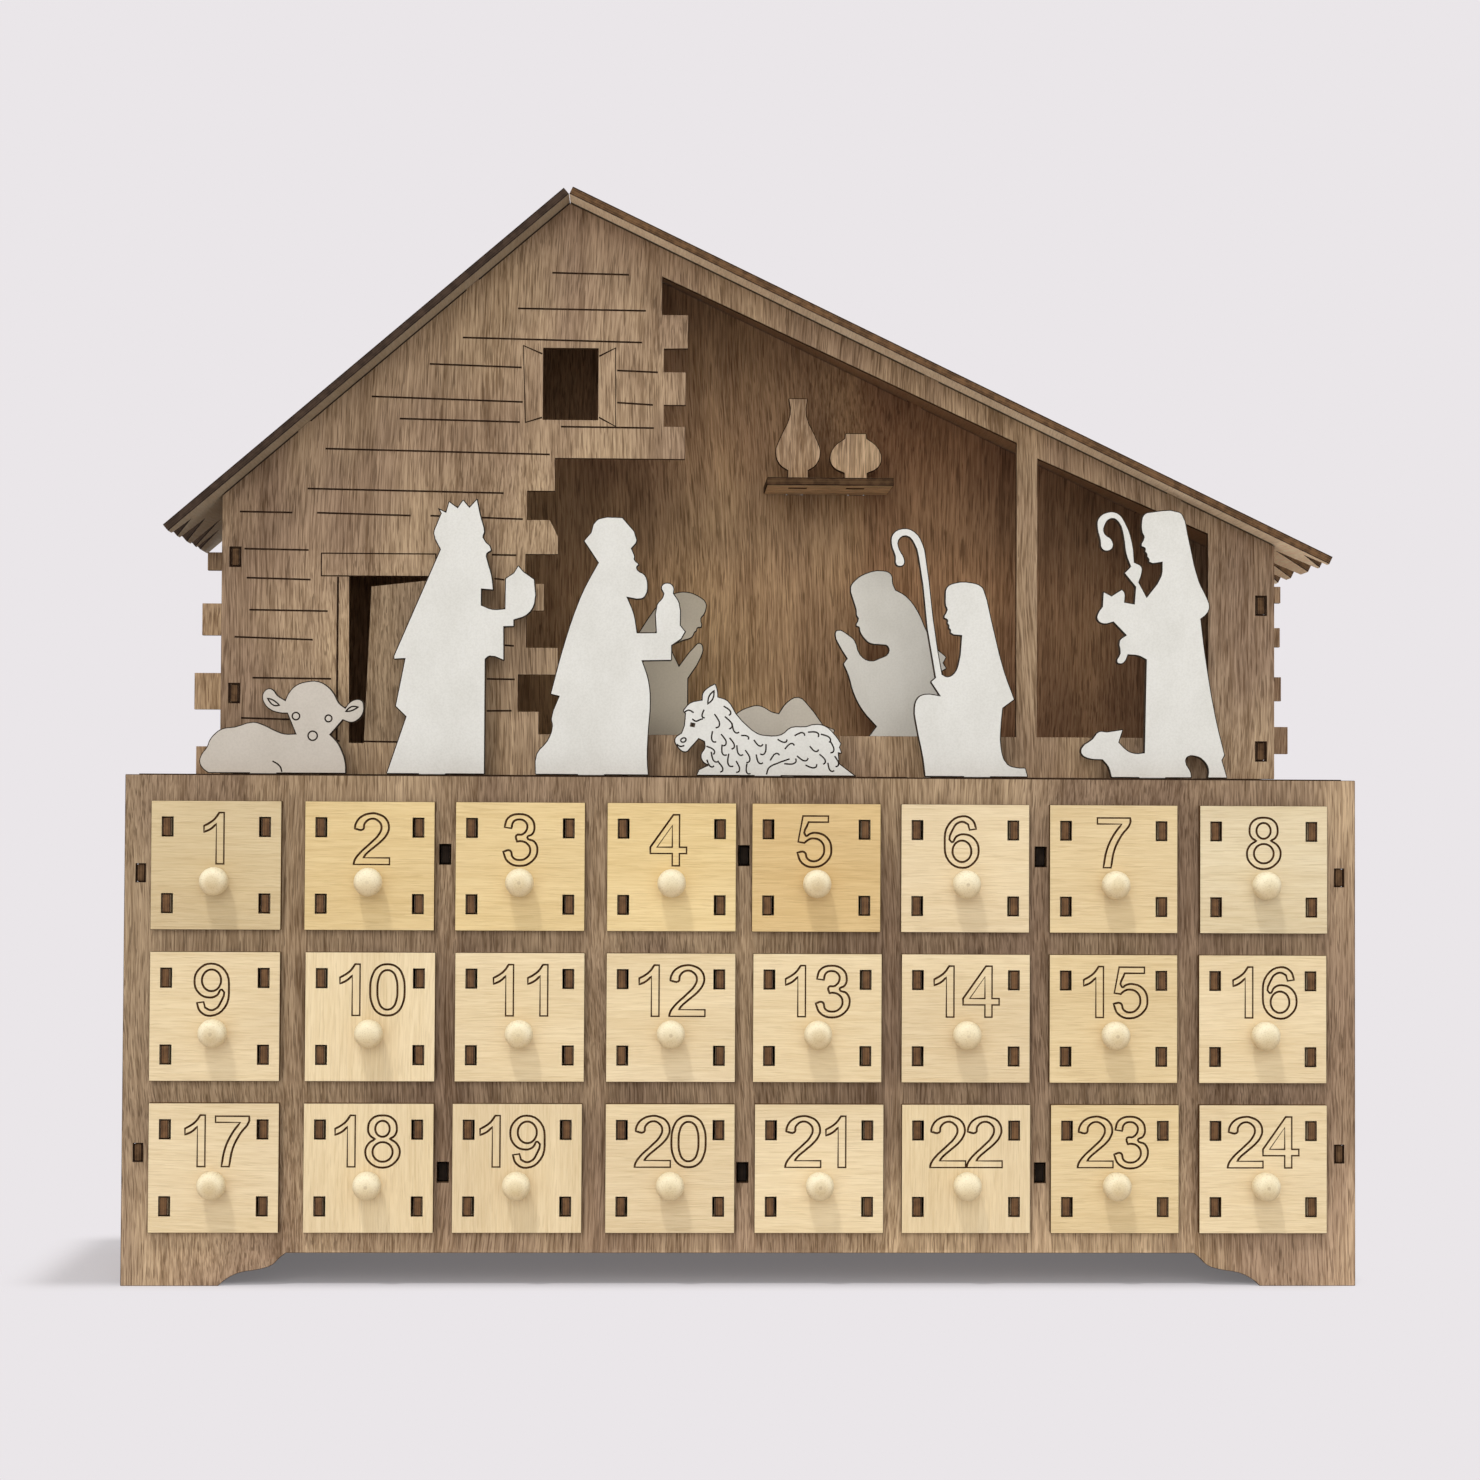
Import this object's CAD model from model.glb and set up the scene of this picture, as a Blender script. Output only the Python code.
# Advent calendar of laser-cut plywood: a gabled house with flat figures on a chest of 24 numbered drawers.
import math

import bpy
from mathutils import Matrix, Vector


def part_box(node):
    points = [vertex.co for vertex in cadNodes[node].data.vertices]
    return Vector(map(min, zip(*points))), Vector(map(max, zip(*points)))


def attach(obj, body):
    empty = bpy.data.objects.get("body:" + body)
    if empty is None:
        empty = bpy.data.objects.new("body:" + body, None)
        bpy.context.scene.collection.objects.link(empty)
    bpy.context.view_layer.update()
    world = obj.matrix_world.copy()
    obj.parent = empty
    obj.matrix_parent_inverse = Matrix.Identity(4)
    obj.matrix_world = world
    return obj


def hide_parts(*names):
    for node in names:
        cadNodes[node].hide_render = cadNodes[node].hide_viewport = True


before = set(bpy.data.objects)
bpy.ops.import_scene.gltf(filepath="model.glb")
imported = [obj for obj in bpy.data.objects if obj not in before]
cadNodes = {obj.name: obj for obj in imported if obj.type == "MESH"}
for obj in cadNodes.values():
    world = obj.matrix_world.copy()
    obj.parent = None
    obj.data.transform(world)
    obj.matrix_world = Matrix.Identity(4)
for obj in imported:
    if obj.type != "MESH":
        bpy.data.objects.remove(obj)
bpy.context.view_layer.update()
mm = 0.001
sameSpot = 0.000002     # points nearer than this are merged
print("frame loaded:", len(cadNodes), "nodes")

# the chest's sheets, in millimetres as in the CAD, and the gap behind a drawer's face
sheet = {"thickness": 2.7, "gap": 0.3}
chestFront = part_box("front_panel")[0].y


# small helpers

def deselect():
    if bpy.context.object and bpy.context.object.mode != "OBJECT":
        bpy.ops.object.mode_set(mode="OBJECT")
    bpy.ops.object.select_all(action="DESELECT")


def choose(*things):
    deselect()
    for thing in things:
        thing.select_set(True)
    bpy.context.view_layer.objects.active = things[0]


def applyModifiers(thing):
    choose(thing)
    for modifier in list(thing.modifiers):
        bpy.ops.object.modifier_apply(modifier=modifier.name)


def settle(thing):
    choose(thing)
    bpy.ops.object.transform_apply(location=True, rotation=True, scale=True)


def block(name, low, high):     # a board between two corners, in metres
    deselect()
    middle = [(a + b) / 2 for a, b in zip(low, high)]
    size = [b - a for a, b in zip(low, high)]
    bpy.ops.mesh.primitive_cube_add(size=1, location=middle, scale=size)
    thing = bpy.context.object
    thing.name = name
    settle(thing)
    return thing


def cut(target, tool, operation="DIFFERENCE", selfCrossing=False):
    modifier = target.modifiers.new("cut", "BOOLEAN")
    modifier.object = tool
    modifier.operation = operation
    modifier.solver = "EXACT"
    modifier.use_self = selfCrossing
    applyModifiers(target)
    bpy.data.objects.remove(tool, do_unlink=True)


def duplicate(thing, name):     # a copy with its own mesh
    copy = thing.copy()
    copy.data = thing.data.copy()
    copy.name = name
    copy.data.name = name
    bpy.context.scene.collection.objects.link(copy)
    return copy


def mergedCopy(node, name):     # a CAD sheet's shape as one closed mesh, to engrave
    thing = duplicate(cadNodes[node], name)
    thing.parent = None
    thing.matrix_world = Matrix.Identity(4)
    for key in list(thing.keys()):
        del thing[key]
    thing.data.materials.clear()
    choose(thing)
    bpy.ops.object.mode_set(mode="EDIT")
    bpy.ops.mesh.select_all(action="SELECT")
    bpy.ops.mesh.remove_doubles(threshold=sameSpot)
    bpy.ops.mesh.dissolve_limited(angle_limit=math.radians(0.5))
    bpy.ops.object.mode_set(mode="OBJECT")
    bpy.ops.object.shade_flat()
    return thing


def groove(lines, radius, front):
    # round cutter along lines on a front face: a line is (closed, points), a point is (x, z),
    # and a third value puts it on a curve
    curve = bpy.data.curves.new("groove", "CURVE")
    curve.dimensions = "3D"
    curve.resolution_u = 4
    curve.bevel_depth = radius
    curve.bevel_resolution = 1
    curve.use_fill_caps = True
    for closed, points in lines:
        spline = curve.splines.new("BEZIER")
        spline.bezier_points.add(len(points) - 1)
        spline.use_cyclic_u = closed
        for knot, point in zip(spline.bezier_points, points):
            knot.co = (point[0], front, point[1])
            knot.handle_left_type = knot.handle_right_type = "AUTO" if len(point) > 2 else "VECTOR"
    tube = bpy.data.objects.new("groove", curve)
    bpy.context.scene.collection.objects.link(tube)
    choose(tube)
    bpy.ops.object.convert(target="MESH")
    tube = bpy.context.object
    bpy.ops.object.mode_set(mode="EDIT")
    bpy.ops.mesh.select_all(action="SELECT")
    bpy.ops.mesh.remove_doubles(threshold=sameSpot)
    bpy.ops.mesh.normals_make_consistent(inside=False)
    bpy.ops.object.mode_set(mode="OBJECT")
    return tube


# camera, floor and light

shot = {"place": (-0.02946, -0.96414, 0.15353), "yaw": 1.733, "pitch": 1.437, "roll": 0.284,
        "lens": 69.32, "sensor": 36}
studio = {"backdrop": (0.823, 0.791, 0.815), "ambient": 0.44,
          "keyPower": 1.15, "keyAngle": 5.0, "keyWay": (3.9, 9.0, -18.0),
          "fillPower": 1.55, "fillAngle": 60.0, "fillWay": (0.6, 9.0, -1.8)}
# the floor is as plain as the backdrop, apart from the shadow round the chest's foot
ground = {"size": 30, "colour": (0.76, 0.74, 0.74), "seen": (0.72, 0.692, 0.712), "glow": 0.17,
          "shadowMiddle": (-0.018, 0.014, 0.0), "shadowBox": (0.200, 0.040), "shadowReach": (0.002, 0.026),
          "contact": (0.022, 0.78)}       # reach and shade of the contact shadow


def makeCamera():
    yaw, pitch, roll = (math.radians(shot[key]) for key in ("yaw", "pitch", "roll"))
    ahead = Vector((math.sin(yaw) * math.cos(pitch), math.cos(yaw) * math.cos(pitch), math.sin(pitch)))
    level = Vector((math.cos(yaw), -math.sin(yaw), 0))
    upright = level.cross(ahead)
    right = math.cos(roll) * level + math.sin(roll) * upright
    up = math.cos(roll) * upright - math.sin(roll) * level
    turn = Matrix((right, up, -ahead)).transposed().to_4x4()
    lens = bpy.data.cameras.new("camera")
    lens.lens = shot["lens"]
    lens.sensor_width = shot["sensor"]
    camera = bpy.data.objects.new("camera", lens)
    camera.matrix_world = Matrix.Translation(shot["place"]) @ turn
    bpy.context.scene.collection.objects.link(camera)
    bpy.context.scene.camera = camera


def add(tree, kind, inputs=None, **settings):
    node = tree.nodes.new(kind)
    for key, value in settings.items():
        setattr(node, key, value)
    for key, value in (inputs or {}).items():
        if isinstance(value, bpy.types.NodeSocket):
            tree.links.new(value, node.inputs[key])
        else:
            node.inputs[key].default_value = value
    return node


def rgba(colour):
    return (*colour[:3], 1.0)


def seenDirectly(tree):     # 1 for camera, glossy and transmission rays
    path = add(tree, "ShaderNodeLightPath").outputs
    seen = maths(tree, "ADD", path["Is Camera Ray"], path["Is Glossy Ray"])
    return maths(tree, "ADD", seen, path["Is Transmission Ray"], clamp=True)


def makeStudio():
    world = bpy.data.worlds.new("studio")
    bpy.context.scene.world = world
    world.use_nodes = True
    tree = world.node_tree
    tree.nodes.clear()
    soft = add(tree, "ShaderNodeBackground", {"Color": (1.0, 1.0, 1.0, 1.0), "Strength": studio["ambient"]})
    plain = add(tree, "ShaderNodeBackground", {"Color": rgba(studio["backdrop"]), "Strength": 1.0})
    both = add(tree, "ShaderNodeMixShader", {0: seenDirectly(tree), 1: soft.outputs[0], 2: plain.outputs[0]})
    add(tree, "ShaderNodeOutputWorld", {"Surface": both.outputs[0]})

    for part in ("key", "fill"):
        lamp = bpy.data.lights.new(part + "_light", "SUN")
        lamp.energy = studio[part + "Power"]
        lamp.angle = math.radians(studio[part + "Angle"])
        sun = bpy.data.objects.new(part + "_light", lamp)
        sun.rotation_euler = Vector(studio[part + "Way"]).to_track_quat("-Z", "Y").to_euler()
        bpy.context.scene.collection.objects.link(sun)


def makeFloor():
    deselect()
    bpy.ops.mesh.primitive_plane_add(size=ground["size"], location=(0, 0, 0))
    floor = bpy.context.object
    floor.name = "floor"
    look = bpy.data.materials.new("pale_floor")
    look.use_nodes = True
    tree = look.node_tree
    tree.nodes.clear()
    seen = seenDirectly(tree)
    place = add(tree, "ShaderNodeTexCoord").outputs["Object"]
    away = vectors(tree, "ABSOLUTE", vectors(tree, "SUBTRACT", place, ground["shadowMiddle"]))
    away = vectors(tree, "MAXIMUM", vectors(tree, "SUBTRACT", away, (*ground["shadowBox"], 0)))
    distance = lengthOf(tree, away)
    reach, shade = ground["contact"]
    underfoot = scaled(tree, ground["seen"], ramp(tree, distance, 0.0, reach, shade, 1.0))
    matt = add(tree, "ShaderNodeBsdfDiffuse", {"Color": blend(tree, seen, rgba(ground["colour"]), underfoot)})
    glow = add(tree, "ShaderNodeEmission", {"Color": rgba(studio["backdrop"]),
                                            "Strength": maths(tree, "MULTIPLY", seen, ground["glow"])})
    near = add(tree, "ShaderNodeAddShader", {0: matt.outputs[0], 1: glow.outputs[0]})
    far = add(tree, "ShaderNodeEmission", {"Color": rgba(studio["backdrop"]), "Strength": 1.0})
    share = maths(tree, "MULTIPLY", ramp(tree, distance, *ground["shadowReach"]), seen)
    both = add(tree, "ShaderNodeMixShader", {0: share, 1: near.outputs[0], 2: far.outputs[0]})
    add(tree, "ShaderNodeOutputMaterial", {"Surface": both.outputs[0]})
    floor.data.materials.append(look)


# node groups for the finishes

def newGroup(name, inputs, outputs):
    tree = bpy.data.node_groups.new(name, "ShaderNodeTree")
    for label, kind, value in inputs:
        socket = tree.interface.new_socket(name=label, in_out="INPUT", socket_type=kind)
        if value is not None:
            socket.default_value = value
    for label, kind in outputs:
        tree.interface.new_socket(name=label, in_out="OUTPUT", socket_type=kind)
    return tree, tree.nodes.new("NodeGroupInput"), tree.nodes.new("NodeGroupOutput")


def useGroup(tree, name, inputs):
    return add(tree, "ShaderNodeGroup", inputs, node_tree=bpy.data.node_groups[name])


def maths(tree, operation, first, second=0.0, clamp=False):
    return add(tree, "ShaderNodeMath", {0: first, 1: second}, operation=operation, use_clamp=clamp).outputs[0]


def mixture(tree, first, firstShare, second, secondShare, clamp=False):
    return maths(tree, "ADD", maths(tree, "MULTIPLY", first, firstShare),
                 maths(tree, "MULTIPLY", second, secondShare), clamp)


def vectors(tree, operation, first, second=(0.0, 0.0, 0.0)):
    return add(tree, "ShaderNodeVectorMath", {0: first, 1: second}, operation=operation).outputs[0]


def stretched(tree, vector, scale):
    return vectors(tree, "MULTIPLY", vector, scale)


def scaled(tree, colour, factor):
    return add(tree, "ShaderNodeVectorMath", {0: colour, "Scale": factor}, operation="SCALE").outputs[0]


def lengthOf(tree, vector):
    return add(tree, "ShaderNodeVectorMath", {0: vector}, operation="LENGTH").outputs["Value"]


def noise(tree, vector, detail=2.0, roughness=0.5):
    return add(tree, "ShaderNodeTexNoise", {"Vector": vector, "Scale": 1.0, "Detail": detail,
                                            "Roughness": roughness}).outputs[0]


def ramp(tree, value, low, high, toLow=0.0, toHigh=1.0):
    return add(tree, "ShaderNodeMapRange", {"Value": value, "From Min": low, "From Max": high, "To Min": toLow,
                                            "To Max": toHigh}, interpolation_type="SMOOTHSTEP").outputs[0]


def blend(tree, share, first, second, kind="MIX"):
    return add(tree, "ShaderNodeMix", {0: share, 6: first, 7: second}, data_type="RGBA",
               blend_type=kind).outputs[2]


def layer(tree, vector, scale, low, high, detail, roughness):
    return ramp(tree, noise(tree, stretched(tree, vector, scale), detail, roughness), low, high)


# a layer is: repeats per metre across and along the grain, contrast from and to, detail, roughness
streakedWood = {"bands": ((48, 48, 2.2), 0.34, 0.66, 1.0, 0.5),
                "streaks": ((300, 300, 9), 0.34, 0.66, 3.0, 0.6), "streakShare": 0.34,
                "flecks": ((1750, 1750, 78), 0.35, 0.65, 2.5, 0.68), "fleckShare": 0.66,
                "pores": ((2300, 2300, 105), 0.56, 0.64, 1.5, 0.5), "poreDepth": 0.8,
                "clouds": ((19, 19, 7), 0.36, 0.64, 3.0, 0.55),
                "cloudTints": ((0.70, 0.66, 0.68), (1.16, 1.17, 1.13)), "swing": (9, 9, 6)}


def makeStreakedWood():
    tree, source, result = newGroup("streakedWood", [
        ("Vector", "NodeSocketVector", None), ("Light", "NodeSocketColor", (0.5, 0.4, 0.3, 1)),
        ("Dark", "NodeSocketColor", (0.2, 0.12, 0.06, 1)), ("Pore", "NodeSocketColor", (0.1, 0.06, 0.03, 1)),
        ("Wave", "NodeSocketFloat", 0.0015), ("Bands", "NodeSocketFloat", 0.5),
        ("Pores", "NodeSocketFloat", 0.5), ("Clouds", "NodeSocketFloat", 0.0)],
        [("Color", "NodeSocketColor"), ("Height", "NodeSocketFloat"), ("Tone", "NodeSocketFloat")])
    given = source.outputs
    swing = add(tree, "ShaderNodeTexNoise", {"Vector": stretched(tree, given["Vector"], streakedWood["swing"]),
                                             "Scale": 1.0, "Detail": 1.5}).outputs["Color"]
    swing = vectors(tree, "SUBTRACT", swing, (0.5, 0.5, 0.5))
    bent = vectors(tree, "ADD", given["Vector"], scaled(tree, swing, given["Wave"]))
    bands, streaks, flecks, pores, clouds = (layer(tree, bent, *streakedWood[key])
                                             for key in ("bands", "streaks", "flecks", "pores", "clouds"))
    rest = maths(tree, "SUBTRACT", 1.0, given["Bands"])
    grain = mixture(tree, streaks, streakedWood["streakShare"], flecks, streakedWood["fleckShare"])
    tone = mixture(tree, bands, given["Bands"], grain, rest, clamp=True)
    colour = blend(tree, tone, given["Dark"], given["Light"])
    colour = blend(tree, maths(tree, "MULTIPLY", pores, given["Pores"]), colour, given["Pore"])
    darker, paler = streakedWood["cloudTints"]
    cloudy = blend(tree, clouds, rgba(darker), rgba(paler))
    colour = blend(tree, given["Clouds"], colour, blend(tree, 1.0, colour, cloudy, "MULTIPLY"))
    height = maths(tree, "SUBTRACT", flecks, maths(tree, "MULTIPLY", pores, streakedWood["poreDepth"]))
    tree.links.new(colour, result.inputs["Color"])
    tree.links.new(height, result.inputs["Height"])
    tree.links.new(tone, result.inputs["Tone"])


# three plies, with places as shares of half the sheet: the charred skin, and a glue line that starts and ends
burntEdge = {"skin": (0.56, 0.84), "skinDark": 0.85, "glueStart": (0.24, 0.33), "glueEnd": (0.46, 0.37),
             "glueDark": 0.55, "patches": ((420, 420, 420), 0.35, 0.65, 3.0, 0.5)}


def makeBurntEdge():
    # charred cut through a sheet; Depth runs from -1 to 1 through it
    tree, source, result = newGroup("burntEdge", [
        ("Vector", "NodeSocketVector", None), ("Depth", "NodeSocketFloat", 0.0),
        ("Char", "NodeSocketColor", (0.024, 0.014, 0.008, 1)),
        ("Core", "NodeSocketColor", (0.13, 0.078, 0.040, 1)), ("Patches", "NodeSocketFloat", 0.45)],
        [("Color", "NodeSocketColor"), ("Height", "NodeSocketFloat")])
    given = source.outputs
    depth = maths(tree, "ABSOLUTE", given["Depth"])
    skin = ramp(tree, depth, *burntEdge["skin"])
    glue = maths(tree, "MULTIPLY", ramp(tree, depth, *burntEdge["glueStart"]),
                 ramp(tree, depth, *burntEdge["glueEnd"]))
    patches = layer(tree, given["Vector"], *burntEdge["patches"])
    dark = mixture(tree, skin, burntEdge["skinDark"], glue, burntEdge["glueDark"])
    dark = maths(tree, "ADD", dark, maths(tree, "MULTIPLY", patches, given["Patches"]), clamp=True)
    tree.links.new(blend(tree, dark, given["Core"], given["Char"]), result.inputs["Color"])
    tree.links.new(patches, result.inputs["Height"])


mattPaint = {"colour": (0.742, 0.727, 0.678), "shade": (0.612, 0.595, 0.540),
             "clouds": ((90, 90, 60), 0.35, 0.70, 3.0, 0.55),
             "speckle": ((1500, 1500, 1500), 0.35, 0.70, 2.0, 0.6),
             "wood": ((1100, 1100, 60), 0.30, 0.70, 2.0, 0.5), "shadeShare": 0.35, "heightShare": 0.5,
             "bump": (0.4, 0.00006), "rough": 0.68, "specular": 0.25}


def makeMattPaint():
    tree, source, result = newGroup("mattPaint", [
        ("Vector", "NodeSocketVector", None), ("Paint", "NodeSocketColor", (0.8, 0.78, 0.73, 1)),
        ("Shade", "NodeSocketColor", (0.7, 0.66, 0.58, 1))],
        [("Color", "NodeSocketColor"), ("Height", "NodeSocketFloat")])
    given = source.outputs
    cloud, speckle, wood = (layer(tree, given["Vector"], *mattPaint[key])
                            for key in ("clouds", "speckle", "wood"))
    share = mixture(tree, cloud, mattPaint["shadeShare"], speckle, mattPaint["shadeShare"])
    height = mixture(tree, speckle, mattPaint["heightShare"], wood, mattPaint["heightShare"])
    tree.links.new(blend(tree, share, given["Paint"], given["Shade"]), result.inputs["Color"])
    tree.links.new(height, result.inputs["Height"])


# what the materials share

def newLook(name):
    look = bpy.data.materials.new(name)
    look.use_nodes = True
    tree = look.node_tree
    return look, tree, tree.nodes["Principled BSDF"], add(tree, "ShaderNodeTexCoord").outputs["Object"]


def finish(tree, shader, colour, roughness, specular, height=None, bump=()):    # bump is strength and depth
    tree.links.new(colour, shader.inputs["Base Color"])
    tree.links.new(roughness, shader.inputs["Roughness"])
    shader.inputs["Specular IOR Level"].default_value = specular
    if bump:
        relief = add(tree, "ShaderNodeBump", {"Height": height, "Strength": bump[0], "Distance": bump[1]})
        tree.links.new(relief.outputs[0], shader.inputs["Normal"])


def tinted(colour, tint):       # by one factor, or by one each for red, green and blue
    factors = tint if isinstance(tint, tuple) else (tint, tint, tint)
    return rgba([min(1.0, value * factor) for value, factor in zip(colour, factors)])


def thicknessOf(thing, across):
    reach = [vertex.co.dot(across) for vertex in thing.data.vertices]
    return (max(reach) + min(reach)) / 2, (max(reach) - min(reach)) / 2


def depthInSheet(tree, vector, across, middle, half):       # from -1 to 1 through the sheet
    along = add(tree, "ShaderNodeVectorMath", {0: vector, 1: tuple(across)}, operation="DOT_PRODUCT")
    return maths(tree, "DIVIDE", maths(tree, "SUBTRACT", along.outputs["Value"], middle), half)


def grainSpace(tree, vector, turn, seed=0, shift=(0.37, 0.61, 0.23)):
    # turns the pattern so that the grain runs along its Z, and shifts it for each seed
    return add(tree, "ShaderNodeMapping", {"Vector": vector, "Rotation": turn,
                                           "Location": tuple(seed * value for value in shift)}).outputs[0]


alongX = (0.0, math.radians(90), 0.0)
alongY = (math.radians(90), 0.0, 0.0)
alongZ = (0.0, 0.0, 0.0)

walnut = {"light": (0.512, 0.366, 0.235), "dark": (0.168, 0.101, 0.053), "pore": (0.085, 0.046, 0.022),
          "roughness": 0.68, "wave": 0.018, "bands": 0.22, "pores": 0.55, "clouds": 0.9, "scorch": 0.982,
          "rim": (0.50, 0.37, 0.24), "rimShare": 0.5}
basswood = {"light": (0.86, 0.706, 0.462), "dark": (0.71, 0.552, 0.325), "pore": (0.50, 0.36, 0.19),
            "roughness": 0.62, "wave": 0.0060, "bands": 0.36, "pores": 0.20, "clouds": 0.16, "scorch": 0.90,
            "rim": (0.60, 0.45, 0.26), "rimShare": 0.3}
edges = {"walnut": ((0.026, 0.012, 0.006), (0.14, 0.078, 0.038), 0.45),       # char, core, patches
         "black": ((0.006, 0.004, 0.003), (0.022, 0.014, 0.009), 0.5),
         "roofLeft": ((0.022, 0.014, 0.010), (0.070, 0.044, 0.030), 0.5),
         "roofRight": ((0.036, 0.020, 0.011), (0.185, 0.100, 0.047), 0.5),
         "basswood": ((0.034, 0.013, 0.004), (0.175, 0.088, 0.036), 0.35),
         "painted": ((0.022, 0.014, 0.009), (0.12, 0.080, 0.048), 0.45)}
sheetFinish = {"faceFrom": 0.982, "faceWhole": 0.996, "charRough": 0.85, "bump": (0.5, 0.00008),
               "specular": 0.1}
rimFinish = {"patches": (300, 300, 300), "patchShare": 0.05, "soft": 0.05, "rough": (0.68, 0.78),
             "specular": 0.15}


def charred(tree, place, depth, edge):
    char, core, patches = edges[edge]
    return useGroup(tree, "burntEdge", {"Vector": place, "Depth": depth, "Char": rgba(char),
                                        "Core": rgba(core), "Patches": patches}).outputs["Color"]


def rimLook(name, thing, across, light, edge, width, share):
    # the eased corner between a face and its charred edge, pale over a share of its width
    look, tree, shader, place = newLook(name)
    middle, half = thicknessOf(thing, Vector(across))
    depth = maths(tree, "ABSOLUTE", depthInSheet(tree, place, across, middle, half))
    patches = noise(tree, stretched(tree, place, rimFinish["patches"]))
    depth = maths(tree, "ADD", depth, maths(tree, "MULTIPLY", patches, rimFinish["patchShare"]))
    start = 1.0 - share * width / half
    bright = ramp(tree, depth, start, start + rimFinish["soft"])
    colour = blend(tree, bright, rgba(edges[edge][0]), rgba(light))
    finish(tree, shader, colour, ramp(tree, patches, 0.3, 0.7, *rimFinish["rough"]), rimFinish["specular"])
    return look


eased = {"width": 0.00028, "sharpest": 75,
         "nodes": ("front_panel", "back_panel", "side_panel_left", "side_panel_right", "house_back_wall",
                   "wall_shelf", "vase_tall", "vase_round", "roof_left", "roof_right")}


def easeCorners(thing, width):
    corner = thing.modifiers.new("eased", "BEVEL")
    corner.width = width
    corner.segments = 1
    corner.limit_method = "ANGLE"
    corner.angle_limit = math.radians(eased["sharpest"])
    corner.use_clamp_overlap = True
    corner.material = 1
    applyModifiers(thing)


# the roof's other side is raw ply, darker along the front wall and in the house's shade inside
rawPly = {"light": (0.86, 0.70, 0.50), "dark": (0.66, 0.50, 0.33), "bands": 0.4, "pores": 0.3,
          "wallSoft": 0.002, "eaveSoft": 0.001, "meeting": (-0.0014, 0.0004), "meetingShade": 0.25,
          "inside": (0.0008, 0.0018)}


def undersideColour(tree, place, space, wood, underside):
    raw = useGroup(tree, "streakedWood", {"Vector": space, "Light": tinted(rawPly["light"], underside["tint"]),
                                          "Dark": tinted(rawPly["dark"], underside["tint"]),
                                          "Pore": rgba(wood["light"]), "Wave": wood["wave"],
                                          "Bands": rawPly["bands"], "Pores": rawPly["pores"]}).outputs["Color"]
    low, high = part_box("house_front_wall")
    halfHouse = (high.x - low.x) / 2
    spot = add(tree, "ShaderNodeSeparateXYZ", {0: place}).outputs
    fromMiddle = maths(tree, "ABSOLUTE", maths(tree, "SUBTRACT", spot["X"], (low.x + high.x) / 2))
    overHouse = ramp(tree, fromMiddle, halfHouse + rawPly["wallSoft"], halfHouse - rawPly["wallSoft"])
    meeting, inside = (maths(tree, "MULTIPLY", ramp(tree, spot["Y"], *(low.y + reach for reach in rawPly[key])),
                             overHouse) for key in ("meeting", "inside"))
    outside = maths(tree, "MULTIPLY", ramp(tree, meeting, 0.0, 1.0, 1.0, rawPly["meetingShade"]),
                    ramp(tree, fromMiddle, halfHouse - rawPly["eaveSoft"], halfHouse + rawPly["eaveSoft"],
                         1.0, underside["eave"]))
    return blend(tree, inside, scaled(tree, raw, outside), stretched(tree, raw, underside["inside"]))


def frontColour(tree, place, colour, front):
    spot = add(tree, "ShaderNodeSeparateXYZ", {0: place}).outputs
    if "tint" in front:
        colour = stretched(tree, colour, front["tint"])
    for axis, start, end, factors in front["fades"]:        # along an axis, from 1 to the factors
        colour = blend(tree, ramp(tree, spot[axis], start, end), colour, stretched(tree, colour, factors))
    if "field" in front:        # a darker field: left, right, low, high, factor, softness of its edge
        left, right, low, high, factor, soft = front["field"]
        within = maths(tree, "MULTIPLY", ramp(tree, spot["X"], left - soft, left + soft),
                       ramp(tree, spot["X"], right + soft, right - soft))
        within = maths(tree, "MULTIPLY", within, ramp(tree, spot["Z"], low - soft, low + soft))
        within = maths(tree, "MULTIPLY", within, ramp(tree, spot["Z"], high + soft, high - soft))
        colour = scaled(tree, colour, ramp(tree, within, 0.0, 1.0, 1.0, factor))
    return colour


def woodSheet(name, thing, across, turn, seed, wood, tint=1.0, edge="walnut", front=None, underside=None):
    look, tree, shader, place = newLook(name)
    middle, half = thicknessOf(thing, Vector(across))
    depth = depthInSheet(tree, place, across, middle, half)
    space = grainSpace(tree, place, turn, seed)
    face = useGroup(tree, "streakedWood", {"Vector": space, "Light": tinted(wood["light"], tint),
                                           "Dark": tinted(wood["dark"], tint),
                                           "Pore": tinted(wood["pore"], tint), "Wave": wood["wave"],
                                           "Bands": wood["bands"], "Pores": wood["pores"],
                                           "Clouds": wood["clouds"]}).outputs
    faceColour = face["Color"]
    if front or underside:
        nearSide = ramp(tree, depth, 0.1, -0.1)     # 1 on the side that faces the front, or down
        other = (frontColour(tree, place, faceColour, front) if front else
                 undersideColour(tree, place, space, wood, underside))
        faceColour = blend(tree, nearSide, faceColour, other)
    onFace = ramp(tree, maths(tree, "ABSOLUTE", depth), wood["scorch"], sheetFinish["faceWhole"])
    colour = blend(tree, onFace, charred(tree, place, depth, edge), faceColour)
    smoother = maths(tree, "MULTIPLY", onFace, sheetFinish["charRough"] - wood["roughness"])
    finish(tree, shader, colour, maths(tree, "SUBTRACT", sheetFinish["charRough"], smoother),
           sheetFinish["specular"], maths(tree, "MULTIPLY", face["Height"], onFace), sheetFinish["bump"])
    return look


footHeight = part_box("top_panel")[1].z + 0.0003       # below it a figure's tab is bare
footSoft = 0.0002


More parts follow.
